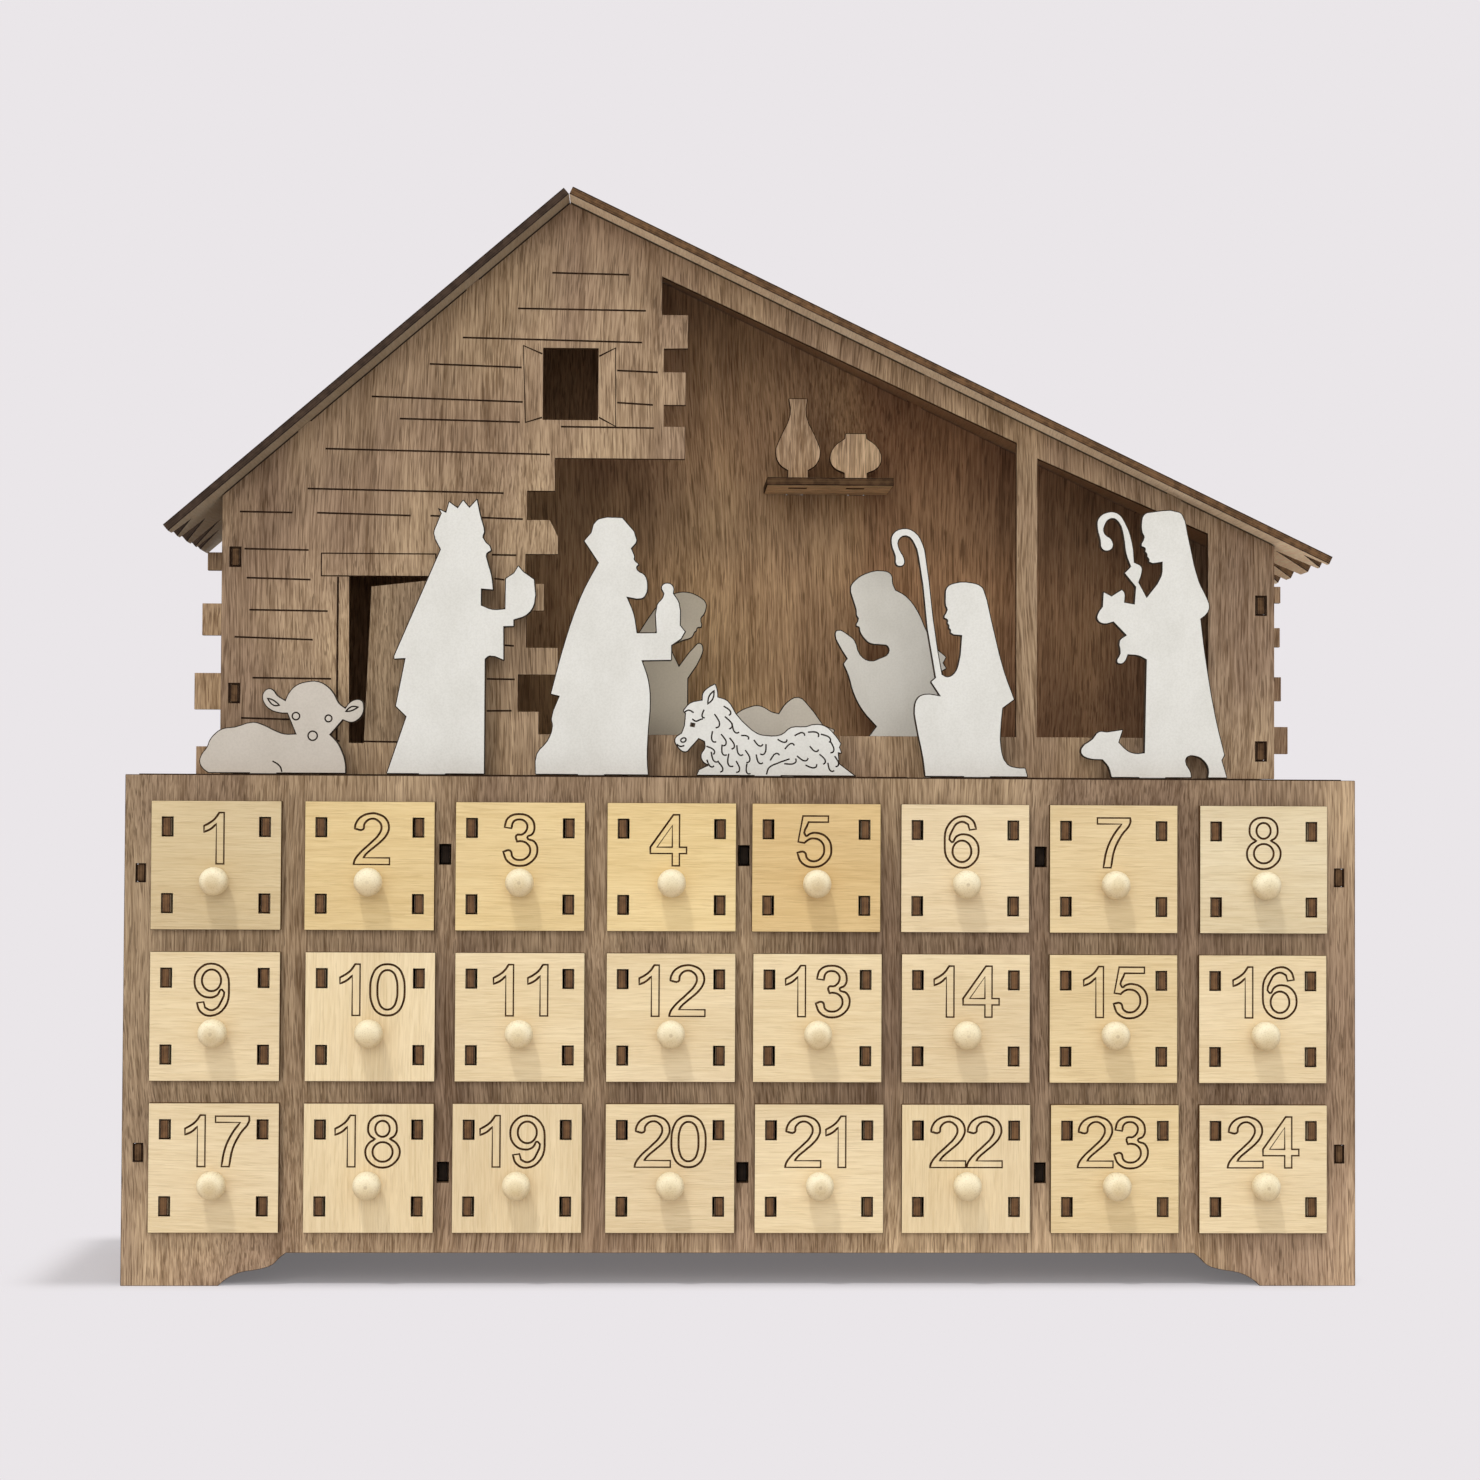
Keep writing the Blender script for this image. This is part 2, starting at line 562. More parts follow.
def paintedSheet(name, thing, seed, tint):
    look, tree, shader, place = newLook(name)
    across = facing["y"]
    middle, half = thicknessOf(thing, Vector(across))
    depth = depthInSheet(tree, place, across, middle, half)
    space = grainSpace(tree, place, alongZ, seed, (0.41, 0.29, 0.53))
    face = useGroup(tree, "mattPaint", {"Vector": space, "Paint": tinted(mattPaint["colour"], tint),
                                        "Shade": tinted(mattPaint["shade"], tint)}).outputs
    onFace = ramp(tree, maths(tree, "ABSOLUTE", depth), sheetFinish["faceFrom"], sheetFinish["faceWhole"])
    height = add(tree, "ShaderNodeSeparateXYZ", {0: place}).outputs["Z"]
    onFace = maths(tree, "MULTIPLY", onFace, ramp(tree, height, footHeight, footHeight + footSoft))
    colour = blend(tree, onFace, charred(tree, place, depth, "painted"), face["Color"])
    finish(tree, shader, colour, ramp(tree, onFace, 0.0, 1.0, sheetFinish["charRough"], mattPaint["rough"]),
           mattPaint["specular"], maths(tree, "MULTIPLY", face["Height"], onFace), mattPaint["bump"])
    return look


def dress(thing, *looks):       # keeps each face's slot number
    if not thing.data.materials:
        for look in looks:
            thing.data.materials.append(look)
        return
    for number, look in enumerate(looks):
        if number < len(thing.data.materials):
            thing.data.materials[number] = look
        else:
            thing.data.materials.append(look)


# chest and house sheets: the side that each faces, its grain and its tint

sheets = {
    "front_panel": ("y", alongZ, 0.93), "back_panel": ("y", alongZ, 1.0),
    "side_panel_left": ("x", alongZ, 1.0), "side_panel_right": ("x", alongZ, 1.0),
    "top_panel": ("z", alongX, 1.0), "bottom_panel": ("z", alongX, 0.95),
    "row_shelf_1": ("z", alongX, 0.95), "row_shelf_2": ("z", alongX, 0.95),
    "divider_1": ("x", alongY, 0.95), "divider_2": ("x", alongY, 0.95), "divider_3": ("x", alongY, 0.95),
    "house_back_wall": ("y", alongZ, 1.0),
    "house_side_left": ("x", alongZ, 1.0), "house_side_right": ("x", alongZ, 1.0),
    "wall_shelf": ("z", alongX, (1.9, 1.9, 1.8)),
    "vase_tall": ("y", alongZ, (1.85, 1.9, 1.9)), "vase_round": ("y", alongZ, (1.85, 1.9, 1.9)),
    "roof_left": ("roof", alongY, 1.0), "roof_right": ("roof", alongY, 1.0),
}
sheetEdges = {"divider_1": "black", "divider_2": "black", "divider_3": "black",
              "roof_left": "roofLeft", "roof_right": "roofRight"}       # the others have the walnut edge
# tints of the side that faces the front: a fade is an axis, where it starts and ends, and its factors
frontTints = {
    "front_panel": {"fades": [("Z", 0.055, 0.022, (1.40, 1.42, 1.43)), ("X", 0.184, 0.195, (1.24, 1.25, 1.25)),
                              ("X", -0.184, -0.195, (0.88, 0.88, 0.88))]},
    "house_back_wall": {
        "tint": (1.32, 1.26, 1.09), "field": (-0.080, -0.040, 0.283, 0.330, 0.62, 0.004),
        "fades": [("X", 0.028, 0.052, (0.58, 0.49, 0.48)), ("X", 0.093, 0.108, (0.93, 0.95, 0.97)),
                  ("X", 0.150, 0.156, (1.69, 2.05, 2.36)), ("X", 0.000, -0.046, (0.64, 0.58, 0.55)),
                  ("X", -0.085, -0.092, (0.85, 0.82, 0.82)), ("X", -0.165, -0.172, (1.53, 1.84, 2.24)),
                  ("Z", 0.252, 0.232, (1.23, 1.22, 1.20)), ("Z", 0.255, 0.285, (1.10, 1.05, 1.05))]},
}
undersides = {"roof_left": {"tint": 0.50, "inside": (0.45, 0.36, 0.30), "eave": 1.0},
              "roof_right": {"tint": 1.15, "inside": (0.46, 0.34, 0.26), "eave": 1.30}}
facing = {"x": (1.0, 0.0, 0.0), "y": (0.0, 1.0, 0.0), "z": (0.0, 0.0, 1.0)}


def roofNormal(node):       # the sheet's largest face gives the slope, and the normal is turned upwards
    mesh = cadNodes[node].data
    normal = max(mesh.polygons, key=lambda face: face.area).normal.normalized()
    return tuple(normal if normal.z > 0 else -normal)


def dressSheets():
    for seed, (node, (side, turn, tint)) in enumerate(sheets.items(), 1):
        edge = sheetEdges.get(node, "walnut")
        across = roofNormal(node) if side == "roof" else facing[side]
        thing = cadNodes[node]
        if node in eased["nodes"]:
            thing = mergedCopy(node, node + "_sheet")
            easeCorners(thing, eased["width"])
            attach(thing, "cabinet")
            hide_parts(node)
        else:
            thing.data.materials.clear()
        dress(thing, woodSheet(node + "_walnut", thing, across, turn, seed, walnut, tint, edge,
                               frontTints.get(node), undersides.get(node)),
              rimLook(node + "_rim", thing, across, walnut["rim"], edge, eased["width"], walnut["rimShare"]))
    print("sheets dressed:", len(sheets))


# front wall with engraved courses, in millimetres apart from its tints

wall = {
    "grooveRadius": 0.34, "seed": 31,
    "joints": [(-64.1, 332.3, -38.6, 331.9), (-75.4, 320.3, -32.9, 319.9), (-93.6, 310.4, -34.1, 309.3),
               (-104.5, 301.5, -74.0, 300.6), (-123.6, 290.5, -73.6, 289.1), (-114.3, 283.2, -74.5, 282.4),
               (-138.7, 273.0, -64.5, 271.7), (-144.5, 259.7, -79.7, 258.7), (-166.7, 251.9, -149.4, 251.7),
               (-141.3, 251.7, -110.4, 251.0), (-103.9, 251.0, -73.3, 250.1), (-165.1, 239.6, -144.0, 239.3),
               (-164.3, 230.0, -143.2, 229.5), (-163.3, 219.4, -137.5, 219.1), (-168.1, 210.4, -142.4, 209.6),
               (-134.2, 176.2, -133.2, 176.2), (-127.3, 176.1, -97.5, 175.7), (-97.5, 176.2, -97.5, 229.8),
               (-162.1, 196.9, -136.2, 196.7), (-165.7, 183.6, -149.8, 183.2), (-83.5, 238.2, -75.4, 238.1),
               (-82.6, 230.3, -79.3, 229.9), (-79.0, 208.2, -76.0, 208.0), (-84.8, 197.0, -75.6, 196.9),
               (-84.8, 186.4, -76.6, 186.5), (-42.4, 299.9, -28.8, 299.4), (-42.3, 289.2, -30.4, 288.5),
               (-60.9, 281.0, -30.0, 280.8)],
    "slots": {"house_side_left": (191.8, 236.9), "house_side_right": (174.4, 223.1)},
    "slotMargin": 0.45, "slotHalf": 3.2,
    "front": {"field": (-0.1284, -0.0975, 0.1762, 0.2310, 0.72, 0.0001),
              "fades": [("X", 0.116, 0.134, (1.14, 1.17, 1.21))]},
    "lintel": (-139.7, 230.8, -102.0, 238.3), "jamb": (-134.2, 176.2, 230.5),
    "shutters": [[(-67.2, 305.2), (-73.5, 307.9), (-72.7, 282.3), (-67.2, 284.0)],
                 [(-48.3, 304.6), (-42.9, 307.4), (-42.7, 281.2), (-48.3, 284.2)]],
}


def slotFrames(node):       # scorched outline round the front wall's slots for a side wall's tabs
    low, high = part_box(node)
    frames = []
    for z in wall["slots"][node]:
        x0, x1 = low.x - wall["slotMargin"] * mm, high.x + wall["slotMargin"] * mm
        z0, z1 = (z - wall["slotHalf"]) * mm, (z + wall["slotHalf"]) * mm
        frames.append((True, [(x0, z0), (x1, z0), (x1, z1), (x0, z1)]))
    return frames


def makeFrontWall():
    thing = mergedCopy("house_front_wall", "engraved_front_wall")
    easeCorners(thing, eased["width"])
    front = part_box("house_front_wall")[0].y
    lines = [(False, [(x0 * mm, z0 * mm), (x1 * mm, z1 * mm)]) for x0, z0, x1, z1 in wall["joints"]]
    lines += [(False, [(x * mm, z * mm) for x, z in shutter]) for shutter in wall["shutters"]]
    lines += slotFrames("house_side_left") + slotFrames("house_side_right")
    left, low, right, high = (value * mm for value in wall["lintel"])
    lines.append((True, [(left, low), (right, low), (right, high), (left, high)]))
    x, low, high = (value * mm for value in wall["jamb"])
    lines.append((False, [(x, low), (x, high)]))
    cut(thing, groove(lines, wall["grooveRadius"] * mm, front), selfCrossing=True)
    dress(thing, woodSheet("front_wall_walnut", thing, facing["y"], alongZ, wall["seed"], walnut,
                           front=wall["front"]),
          rimLook("front_wall_rim", thing, facing["y"], walnut["rim"], "walnut", eased["width"],
                  walnut["rimShare"]))
    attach(thing, "cabinet")
    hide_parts("house_front_wall")
    print("front wall engraved:", len(lines), "lines")


# figures: a thin cream rim round the paint, and marks on the two animals, in millimetres from their corners

figures = {
    "nodes": ["crowned_king", "turbaned_king", "kneeling_shepherd", "standing_shepherd", "kneeling_mother",
              "manger_with_baby", "kneeling_father", "ox", "woolly_animal"],
    "rimWidth": 0.36, "rim": (0.93, 0.86, 0.69), "rimShare": 0.85, "plain": (1.0, 1.0, 1.0),
    "tints": {"ox": (0.79, 0.73, 0.68), "kneeling_mother": (0.73, 0.655, 0.545),
              "kneeling_father": (0.92, 0.90, 0.865), "manger_with_baby": (0.81, 0.75, 0.67)},
    "corners": {"ox": (-145.0, 164.9), "woolly_animal": (6.0, 164.9)},
    "markRadius": 0.29, "eyeRadius": 0.95, "eye": [(-22.9, 16.3), (-22.6, 17.7)],
}


def ring(x, z, radius):
    turns = [math.radians(45 * step) for step in range(8)]
    return (True, [(x + radius * math.cos(turn), z + radius * math.sin(turn), True) for turn in turns])


def oxMarks():
    return [ring(-1.5, 19.1, 1.2), ring(9.1, 18.4, 1.1), ring(4.0, 12.7, 1.5),
            (True, [(-10.9, 24.9), (-9.0, 24.3, True), (-6.8, 22.6), (-8.8, 22.6, True)]),
            (True, [(14.6, 20.7), (16.4, 20.9, True), (18.9, 22.2), (16.6, 22.3, True)]),
            (False, [(-9.0, 4.4), (-6.6, 2.7, True), (-5.9, 0.8)])]


wool = {"spread": 0.35, "reach": 1.3, "bends": (0.05, 0.20, 0.55, 0.95, 0)}


def lock(x, z, size, heading, curl):      # one curl of wool: a stroke that hooks round at its end
    turn = math.radians(heading) - curl * wool["spread"]
    step = size * wool["reach"] / len(wool["bends"])
    points = [(x, z)]
    for bend in wool["bends"]:
        x += step * math.cos(turn)
        z += step * math.sin(turn)
        turn += curl * bend
        points.append((x, z, True))
    points[-1] = points[-1][:2]
    return (False, points)


def woollyMarks():
    marks = [(True, [(-26.6, 11.8, True), (-25.6, 12.7, True), (-24.9, 12.3, True), (-25.7, 11.3, True)]),
             (False, [(-27.9, 10.6), (-26.8, 9.9, True), (-25.4, 10.2)]),
             (False, [(-25.2, 18.8), (-25.6, 20.6, True), (-24.2, 21.8, True), (-22.4, 21.0)]),
             (False, [(-22.9, 18.9), (-21.6, 18.2, True), (-20.4, 18.7, True), (-19.4, 19.0)]),
             (True, [(-15.7, 28.4), (-17.3, 26.6, True), (-17.9, 23.8), (-16.2, 25.5, True)])]
    locks = [(-19.0, 22.0, 2.6, -95, 1), (-15.6, 20.6, 4.4, -75, -1), (-12.6, 23.2, 3.4, -50, -1),
             (-12.2, 19.8, 4.2, -60, -1), (-16.2, 15.0, 3.6, -80, 1), (-13.4, 14.0, 3.8, -70, -1),
             (-9.8, 17.6, 3.6, -60, 1), (-18.2, 10.0, 3.4, -40, -1), (-16.6, 8.2, 3.8, -60, 1),
             (-13.0, 10.6, 3.6, -75, 1), (-10.6, 12.8, 3.6, -70, -1), (-18.0, 5.6, 3.0, -50, 1),
             (-14.2, 4.8, 3.2, -70, -1), (-10.8, 7.6, 4.2, -80, 1), (-8.2, 10.4, 3.6, -65, 1),
             (-8.4, 5.2, 3.6, -80, -1), (-6.8, 13.6, 2.6, -20, -1), (-5.4, 8.8, 4.0, -75, -1),
             (-4.8, 4.4, 3.4, -80, 1), (-2.6, 12.2, 3.2, -35, 1), (-1.8, 7.4, 3.4, -60, 1),
             (1.4, 10.8, 3.6, -110, -1), (2.8, 5.4, 3.4, 40, -1), (5.2, 12.4, 3.0, -10, 1),
             (7.6, 9.2, 3.2, 30, -1), (10.8, 13.6, 3.2, 10, -1), (11.6, 7.0, 3.6, -20, 1),
             (15.2, 14.8, 3.6, -15, -1), (15.8, 10.2, 3.0, -30, 1), (19.4, 14.2, 3.8, -35, -1),
             (19.0, 7.6, 3.4, -60, -1), (22.6, 11.8, 3.6, -80, -1), (21.8, 4.8, 3.2, -60, 1),
             (24.0, 7.0, 3.4, -75, -1), (7.4, 4.4, 4.0, 15, 1), (14.4, 4.0, 3.6, -5, 1)]
    marks += [lock(*stroke) for stroke in locks]
    marks.append((False, [(1.6, 0.8), (2.4, 3.0, True), (5.4, 4.6, True), (9.2, 6.0)]))
    return marks


def makeFigures():
    marks = {"ox": oxMarks(), "woolly_animal": woollyMarks()}
    width = figures["rimWidth"] * mm
    for seed, node in enumerate(figures["nodes"], 1):
        thing = mergedCopy(node, node + "_painted")
        easeCorners(thing, width)
        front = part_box(node)[0].y
        if node in marks:
            x0, z0 = figures["corners"][node]
            lines = [(closed, [((p[0] + x0) * mm, (p[1] + z0) * mm, *p[2:]) for p in points])
                     for closed, points in marks[node]]
            cut(thing, groove(lines, figures["markRadius"] * mm, front), selfCrossing=True)
        if node == "woolly_animal":
            eye = [((x + x0) * mm, (z + z0) * mm) for x, z in figures["eye"]]
            cut(thing, groove([(False, eye)], figures["eyeRadius"] * mm, front))
        dress(thing, paintedSheet(node + "_paint", thing, seed, figures["tints"].get(node, figures["plain"])),
              rimLook(node + "_rim", thing, facing["y"], figures["rim"], "painted", width, figures["rimShare"]))
        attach(thing, "cabinet")
        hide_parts(node)
    print("figures painted:", len(figures["nodes"]))


# drawers, in millimetres

drawer = {
    "count": 24, "faceWidth": 41.8, "faceHeight": 41.6, "ease": 0.18,
    "slot": (3.84, 6.5), "tab": (2.7, 5.5), "slotX": 15.6, "slotHigh": 12.4, "slotLow": -12.25, "sideX": 15.85,
    "trayWidth": 34.4, "trayLength": 74.0, "trayHeight": 33.4, "trayFloor": -17.95, "trayGap": 0.05,
    "tabShort": 0.2, "tabRoot": 1.0, "earHeights": (0.3, 0.72), "earHalf": 2.8, "holeHalf": 3.0,
    "knobDrop": 5.1, "numberHeight": 16.5, "numberBase": 0.45, "lineRadius": 0.40,
    "offsets": {1: -1.4, 2: 0.6, 4: -0.9, 5: -0.7, 6: -1.2, 9: -1.0, 11: -0.4, 12: -0.3, 13: -0.6, 14: -0.4,
                17: 0.4, 18: -1.0, 19: -2.2, 21: -1.2, 23: -0.7},       # of the numbers, sideways
    "upright": (10, 18, 19, 22),        # faces whose grain stands upright
    "woods": {1: "tan", 2: "gold", 3: "gold", 4: "gold", 5: "honey", 7: "straw", 8: "cool", 23: "straw",
              15: "straw"},
    "tints": {"tan": (0.82, 0.80, 0.75), "gold": (0.99, 0.94, 0.77), "honey": (0.875, 0.78, 0.60),
              "straw": (0.96, 0.93, 0.84), "cool": (0.93, 0.96, 1.0), "pale": (1.0, 1.0, 1.0)},
}

# own numerals, 100 high; a third value marks a point on a curve, and each loop is one engraved line
numerals = {
    "1": (67, [[(32, 0), (47, 0), (47, 100), (37.5, 100), (29, 88, 1), (19, 80, 1), (8, 74), (8, 62),
                (21, 68, 1), (32, 78)]]),
    "2": (72, [[(0, 0), (70, 0), (70, 13), (19, 13), (24, 20, 1), (40, 34, 1), (56, 48, 1), (65, 60, 1),
                (68.5, 73, 1), (62, 90, 1), (47, 98.5, 1), (34, 100, 1), (14, 93, 1), (4, 80, 1), (2, 70),
                (18, 68.5, 1), (21, 80, 1), (34.5, 89.5, 1), (49, 84, 1), (54, 73, 1), (49, 59, 1),
                (33, 42, 1), (10, 20, 1), (2, 8, 1)]]),
    "3": (72, [[(2.5, 74), (9, 92, 1), (31, 100, 1), (54, 92, 1), (61, 75, 1), (57, 61, 1), (47, 54, 1),
                (61, 46, 1), (67, 29, 1), (57, 8, 1), (32, -1.5, 1), (9, 7, 1), (0, 26), (13.5, 28.5, 1),
                (19, 15, 1), (32, 10, 1), (47, 15.5, 1), (53, 29, 1), (47, 42, 1), (34, 47, 1), (27, 46),
                (25.5, 58, 1), (38, 60.5, 1), (47, 74, 1), (43, 85, 1), (31, 89.5, 1), (20, 85, 1),
                (16, 72)]]),
    "4": (72, [[(41, 0), (55, 0), (55, 24), (69, 24), (69, 36.5), (55, 36.5), (55, 100), (43, 100),
                (-2, 36.5), (-2, 24), (41, 24)], [(41, 36.5), (41, 79), (11, 36.5)]]),
    "5": (72, [[(11, 99), (61, 99), (61, 87), (22, 87), (16.5, 60, 1), (25, 64, 1), (36, 66, 1),
                (58, 57, 1), (67, 34, 1), (60, 12, 1), (33, -1.5, 1), (9, 7, 1), (0, 27), (14, 28, 1),
                (20, 15, 1), (33, 10, 1), (47, 17, 1), (53, 33, 1), (47, 49, 1), (32, 55, 1), (22, 52.5, 1),
                (14, 46), (1.5, 48)]]),
    "7": (72, [[(0, 98), (65, 98), (65, 88, 1), (48, 64, 1), (34, 36, 1), (27, 0), (12, 0), (19, 36, 1),
                (32, 64, 1), (48, 86), (0, 86)]]),
    "8": (72, [[(32.5, 100, 1), (54, 93, 1), (61, 75, 1), (57, 61, 1), (47, 54.5), (61, 45, 1), (67, 28, 1),
                (57, 8, 1), (33.5, -1.5, 1), (9, 8, 1), (0, 28, 1), (6, 45, 1), (19, 54), (9, 61, 1),
                (5, 74, 1), (12, 93, 1)]]),
}
bowl = [(62, 75), (55, 92, 1), (35, 100, 1), (8, 84, 1), (0, 47, 1), (8, 12, 1), (35, -1.5, 1), (58, 9, 1),
        (67, 32, 1), (58, 56, 1), (37, 64.5, 1), (23, 60, 1), (13.5, 49, 1), (18, 78, 1), (25, 86, 1),
        (35.5, 89, 1), (46, 84), (49, 73)]


def oval(x, z, halfWidth, halfHeight, square=1.0):
    points = []
    for step in range(12):
        turn = math.radians(30 * step)
        across, up = math.cos(turn), math.sin(turn)
        points.append((x + halfWidth * math.copysign(abs(across) ** square, across),
                       z + halfHeight * math.copysign(abs(up) ** square, up), 1))
    return points


numerals["0"] = (72, [oval(33.5, 50, 33.5, 50, 0.85), oval(33.5, 50, 19.5, 38.5, 0.85)])
numerals["6"] = (72, [bowl, oval(34, 31, 18.5, 21)])
numerals["8"][1].extend([oval(33, 74, 14, 15.5), oval(33.5, 29, 19.5, 19)])
numerals["9"] = (72, [[(67 - p[0], 98.5 - p[1], *p[2:]) for p in loop] for loop in numerals["6"][1]])


def numberLines(number, x, z):
    digits = str(number)
    scale = drawer["numberHeight"] * mm / 100
    width = sum(numerals[digit][0] for digit in digits[:-1]) + max(
        p[0] for loop in numerals[digits[-1]][1] for p in loop)
    left = x + drawer["offsets"].get(number, 0.0) * mm - width * scale / 2
    lines = []
    for digit in digits:
        advance, loops = numerals[digit]
        for loop in loops:
            lines.append((True, [(left + p[0] * scale, z + p[1] * scale, *p[2:]) for p in loop]))
        left += advance * scale
    return lines


def makeBoard():        # face board with four slots, its middle at the origin, its front at y = -thickness
    w, h, t = drawer["faceWidth"] * mm / 2, drawer["faceHeight"] * mm / 2, sheet["thickness"] * mm
    board = block("drawer_board", (-w, -t, -h), (w, 0, h))
    easeCorners(board, drawer["ease"] * mm)
    slotWidth, slotHeight = (value * mm / 2 for value in drawer["slot"])
    for x in (-drawer["slotX"] * mm, drawer["slotX"] * mm):
        for z in (drawer["slotHigh"] * mm, drawer["slotLow"] * mm):
            tool = block("slot", (x - slotWidth, -2 * t, z - slotHeight), (x + slotWidth, t, z + slotHeight))
            cut(board, tool)
    return board


def markDepth(thing, axis, middle, half):
    # how deep in its sheet each point lies, for the plies on cut edges
    values = [(vertex.co[axis] - middle) / half for vertex in thing.data.vertices]
    depth = thing.data.attributes.new("depth", "FLOAT", "POINT")
    depth.data.foreach_set("value", values)


def makeTray():
    t, gap = sheet["thickness"] * mm, drawer["trayGap"] * mm
    width, length = drawer["trayWidth"] * mm / 2, drawer["trayLength"] * mm
    floor, top = drawer["trayFloor"] * mm, (drawer["trayFloor"] + drawer["trayHeight"]) * mm
    back = sheet["gap"] * mm + length
    earHeights = [floor + (top - floor) * share for share in drawer["earHeights"]]
    ear, hole = drawer["earHalf"] * mm, drawer["holeHalf"] * mm
    tabWidth, tabHeight = (value * mm / 2 for value in drawer["tab"])
    tabFront, tabRoot = drawer["tabShort"] * mm - t, drawer["tabRoot"] * mm
    parts = []
    for side in (-1, 1):
        inner, outer = sorted((side * (width - t), side * width))
        wallSheet = block("tray_side", (inner, gap, floor), (outer, back, top))
        for z in (drawer["slotHigh"] * mm, drawer["slotLow"] * mm):
            x = side * drawer["sideX"] * mm
            tab = block("tab", (x - tabWidth, tabFront, z - tabHeight), (x + tabWidth, tabRoot, z + tabHeight))
            cut(wallSheet, tab, "UNION")
        for z in earHeights:
            cut(wallSheet, block("hole", (-2 * width, back - t - gap, z - hole),
                                 (2 * width, back + gap, z + hole)))
        markDepth(wallSheet, 0, (inner + outer) / 2, t / 2)
        parts.append(wallSheet)
    rear = block("tray_back", (-width + t + gap, back - t, floor), (width - t - gap, back, top))
    for z in earHeights:
        cut(rear, block("ear", (-width, back - t, z - ear), (width, back, z + ear)), "UNION")
    markDepth(rear, 1, back - t / 2, t / 2)
    base = block("tray_floor", (-width + t + gap, gap, floor), (width - t - gap, back - t - gap, floor + t))
    markDepth(base, 2, floor + t / 2, t / 2)
    parts += [rear, base]
    choose(*parts)
    bpy.ops.object.join()
    tray = bpy.context.object
    tray.name = "drawer_tray"
    return tray


# the knob in millimetres, apart from the reach of its tints and its bump in metres
knob = {"radius": 4.6, "neck": 2.7, "neckLength": 1.5, "root": 0.4, "length": 9.0, "leastStep": 0.02,
        "sides": 32,
        "profile": [(0.70, 0.00), (0.88, 0.08), (0.975, 0.22), (1.0, 0.42), (0.985, 0.58), (0.92, 0.73),
                    (0.80, 0.85), (0.62, 0.94), (0.40, 0.985), (0.14, 1.0)],
        "light": (0.96, 0.870, 0.635), "dark": (0.90, 0.785, 0.535), "pore": (0.50, 0.36, 0.20),
        "tips": [(0.86, 0.84, 0.79), (0.79, 0.74, 0.66), (0.90, 0.88, 0.84), (0.84, 0.80, 0.72)],
        "tipReach": (0.0036, 0.0013), "nub": (0.42, 0.30, 0.18), "nubShares": (0.45, 0.0, 0.2),
        "nubReach": (0.00075, 0.00045), "lower": (0.80, 0.71, 0.60), "lowerReach": (0.0020, -0.0032),
        "turning": 9000.0, "turningShare": 0.25, "bump": (0.35, 0.00006), "rough": (0.50, 0.58)}


def makeKnob():         # turned peg, drawn out ring by ring from its neck, then laid to point at the front
    deselect()
    neckLength = (knob["neckLength"] + knob["root"]) * mm
    bpy.ops.mesh.primitive_cylinder_add(vertices=knob["sides"], radius=knob["neck"] * mm, depth=neckLength,
                                        location=(0, 0, neckLength / 2 - knob["root"] * mm))
    peg = bpy.context.object
    peg.name = "drawer_knob"
    settle(peg)
    bpy.ops.object.mode_set(mode="EDIT")
    bpy.ops.mesh.select_mode(type="FACE")
    bpy.ops.mesh.select_all(action="DESELECT")
    bpy.ops.object.mode_set(mode="OBJECT")
    top = max(peg.data.polygons, key=lambda face: face.center.z)
    top.select = True
    bpy.ops.object.mode_set(mode="EDIT")
    radius, height = knob["neck"], knob["neckLength"]
    head = knob["length"] - knob["neckLength"]
    for share, rise in knob["profile"]:
        nextRadius, nextHeight = knob["radius"] * share, knob["neckLength"] + head * rise
        step = max(nextHeight - height, knob["leastStep"])
        bpy.ops.mesh.extrude_region_move(TRANSFORM_OT_translate={"value": (0, 0, step * mm)})
        factor = nextRadius / radius
        bpy.ops.transform.resize(value=(factor, factor, 1.0))
        radius, height = nextRadius, height + step
    bpy.ops.mesh.select_all(action="SELECT")
    bpy.ops.mesh.normals_make_consistent(inside=False)
    bpy.ops.object.mode_set(mode="OBJECT")
    bpy.ops.object.shade_smooth_by_angle(angle=math.radians(40))
    peg.data.transform(Matrix.Rotation(math.radians(90), 4, "X"))
    return peg


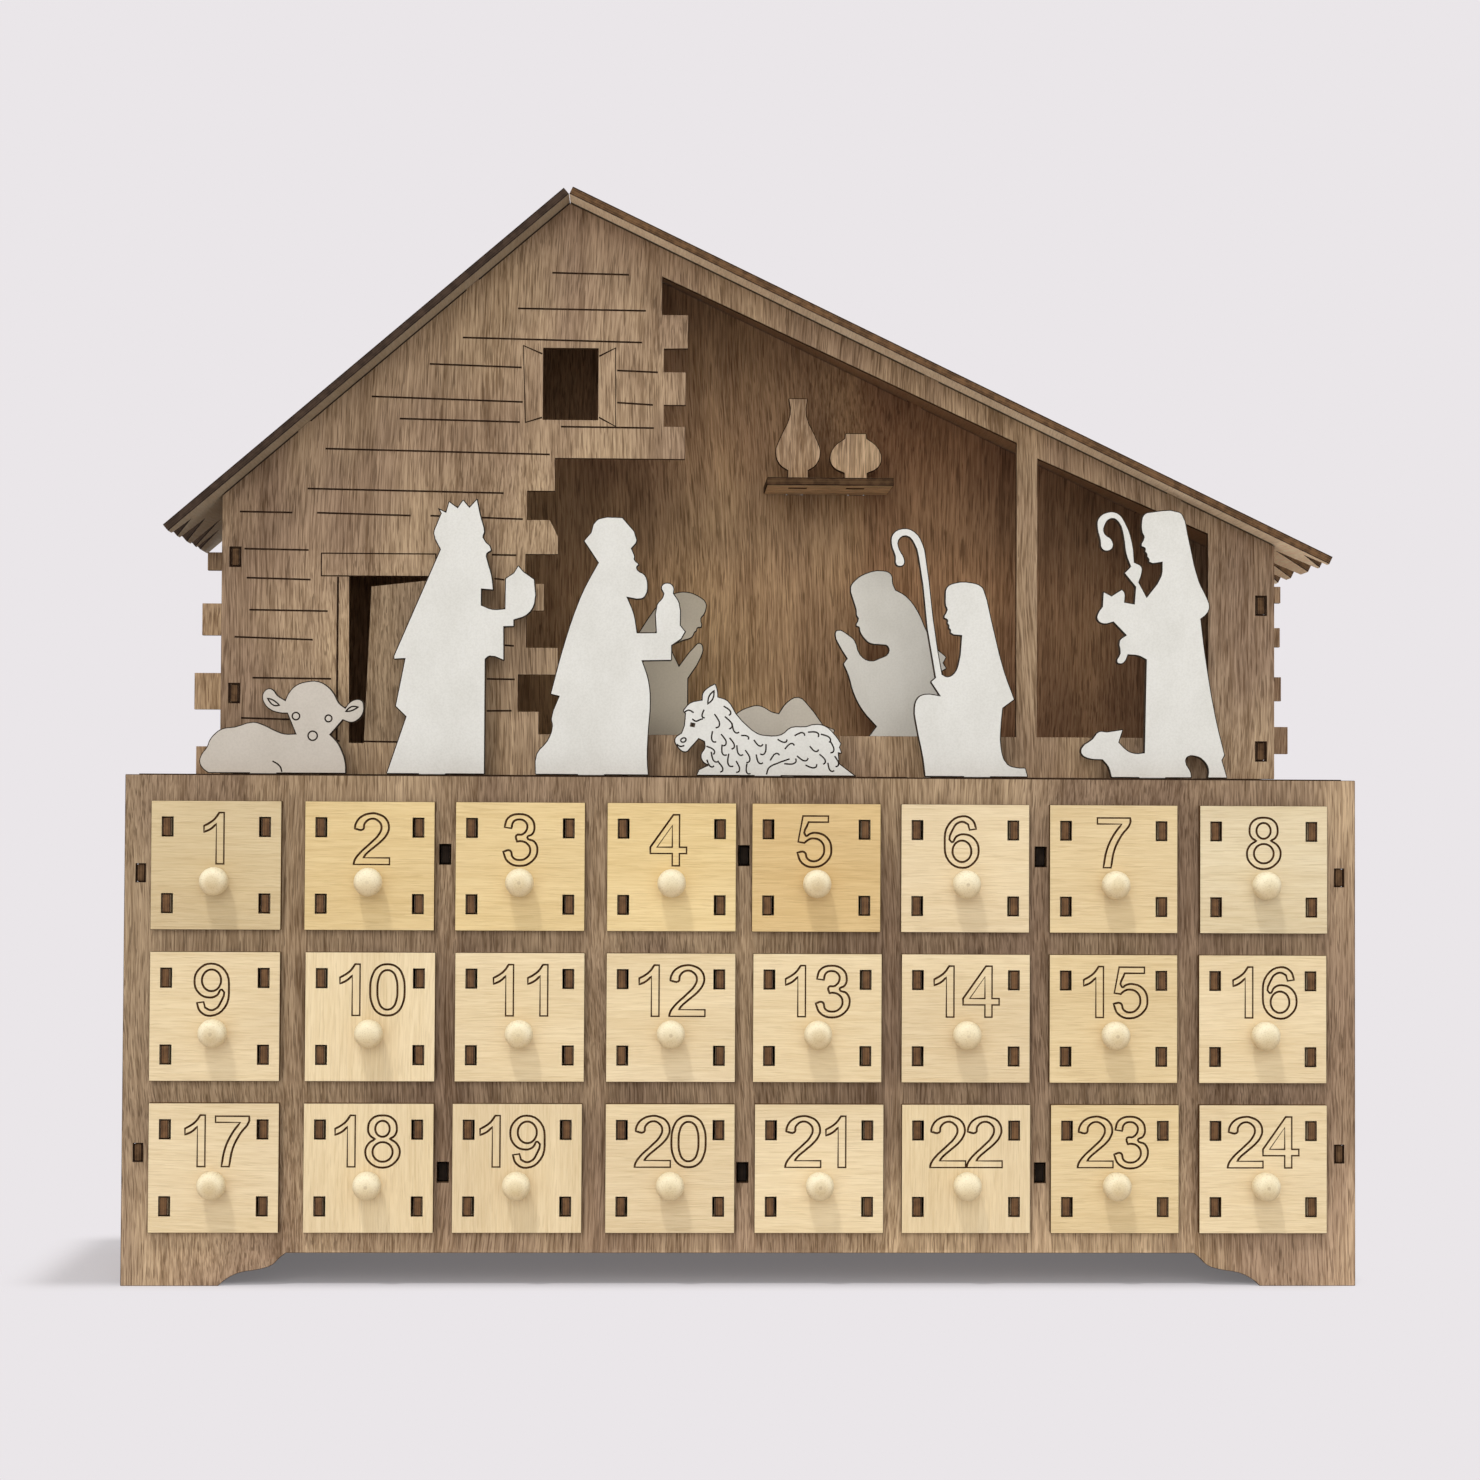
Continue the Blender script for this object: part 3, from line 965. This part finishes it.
def knobLook(name, seed, axis):     # axis is where the peg stands
    look, tree, shader, place = newLook(name)
    space = add(tree, "ShaderNodeMapping", {"Vector": place, "Location": tuple(-v for v in axis)}).outputs[0]
    grain = grainSpace(tree, space, alongY, seed, (0.31, 0.17, 0.0))
    wood = useGroup(tree, "streakedWood", {"Vector": grain, "Light": rgba(knob["light"]),
                                           "Dark": rgba(knob["dark"]), "Pore": rgba(knob["pore"]),
                                           "Wave": 0.0006, "Bands": 0.5, "Pores": 0.25}).outputs
    distance = lengthOf(tree, stretched(tree, space, (1.0, 0.0, 1.0)))
    tip = rgba(knob["tips"][seed % len(knob["tips"])])
    colour = blend(tree, ramp(tree, distance, *knob["tipReach"]), wood["Color"], tip, "MULTIPLY")
    height = add(tree, "ShaderNodeSeparateXYZ", {0: space}).outputs["Z"]
    lower = blend(tree, ramp(tree, height, *knob["lowerReach"]), (1, 1, 1, 1), rgba(knob["lower"]))
    colour = blend(tree, 1.0, colour, lower, "MULTIPLY")
    nubShare = knob["nubShares"][seed % len(knob["nubShares"])]
    nub = maths(tree, "MULTIPLY", ramp(tree, distance, *knob["nubReach"]), nubShare)
    colour = blend(tree, nub, colour, rgba(knob["nub"]))
    turned = maths(tree, "SINE", maths(tree, "MULTIPLY", distance, knob["turning"]))
    relief = maths(tree, "ADD", maths(tree, "MULTIPLY", turned, knob["turningShare"]), wood["Height"])
    finish(tree, shader, colour, ramp(tree, wood["Tone"], 0.0, 1.0, *knob["rough"]), 0.5, relief, knob["bump"])
    return look


def faceLook(name, thing, number):
    turn = alongZ if number in drawer["upright"] else alongX
    tint = drawer["tints"][drawer["woods"].get(number, "pale")]
    return woodSheet(name, thing, facing["y"], turn, number + 3, basswood, tint, "basswood")


trayFinish = {"wave": 0.0015, "bands": 0.45, "pores": 0.3, "face": (0.985, 0.995), "rough": (0.62, 0.70),
              "specular": 0.2, "bump": (0.4, 0.00008)}


def trayLook():     # one look for all the trays, by the depth marked on their points
    look, tree, shader, place = newLook("tray_basswood")
    wood = useGroup(tree, "streakedWood", {"Vector": grainSpace(tree, place, alongY),
                                           "Light": rgba(basswood["light"]), "Dark": rgba(basswood["dark"]),
                                           "Pore": rgba(basswood["pore"]), "Wave": trayFinish["wave"],
                                           "Bands": trayFinish["bands"], "Pores": trayFinish["pores"]}).outputs
    depth = add(tree, "ShaderNodeAttribute", attribute_name="depth").outputs["Fac"]
    onFace = ramp(tree, maths(tree, "ABSOLUTE", depth), *trayFinish["face"])
    colour = blend(tree, onFace, charred(tree, place, depth, "basswood"), wood["Color"])
    finish(tree, shader, colour, ramp(tree, wood["Tone"], 0.0, 1.0, *trayFinish["rough"]),
           trayFinish["specular"], wood["Height"], trayFinish["bump"])
    return look


def makeDrawers():
    board, tray, peg = makeBoard(), makeTray(), makeKnob()
    trayWood = trayLook()
    ease = drawer["ease"] * mm
    for number in range(1, drawer["count"] + 1):
        node = "drawer_%02d" % number
        low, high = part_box(node)
        x = (low.x + high.x) / 2
        z = (low.z + high.z) / 2
        y = chestFront - sheet["gap"] * mm      # back of the face board
        place = Matrix.Translation((x, y, z))
        face = duplicate(board, node + "_face")
        face.data.transform(place)
        front = y - sheet["thickness"] * mm
        lines = numberLines(number, x, z + drawer["numberBase"] * mm)
        cut(face, groove(lines, drawer["lineRadius"] * mm, front), selfCrossing=True)
        dress(face, faceLook(node + "_basswood", face, number),
              rimLook(node + "_rim", face, facing["y"], basswood["rim"], "basswood", ease,
                      basswood["rimShare"]))
        body = duplicate(tray, node + "_tray")
        body.data.transform(place)
        dress(body, trayWood)
        handle = duplicate(peg, node + "_knob")
        axis = (x, front, z - drawer["knobDrop"] * mm)
        handle.data.transform(Matrix.Translation(axis))
        dress(handle, knobLook(node + "_peg_wood", number, axis))
        for piece in (face, body, handle):
            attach(piece, node)
        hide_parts(node)
    for spare in (board, tray, peg):
        bpy.data.objects.remove(spare, do_unlink=True)
    print("drawers made:", drawer["count"])


makeStreakedWood()
makeBurntEdge()
makeMattPaint()
print("finishes ready")
makeCamera()
makeStudio()
makeFloor()
dressSheets()
makeFrontWall()
makeFigures()
makeDrawers()
bpy.context.scene.view_settings.view_transform = "Standard"
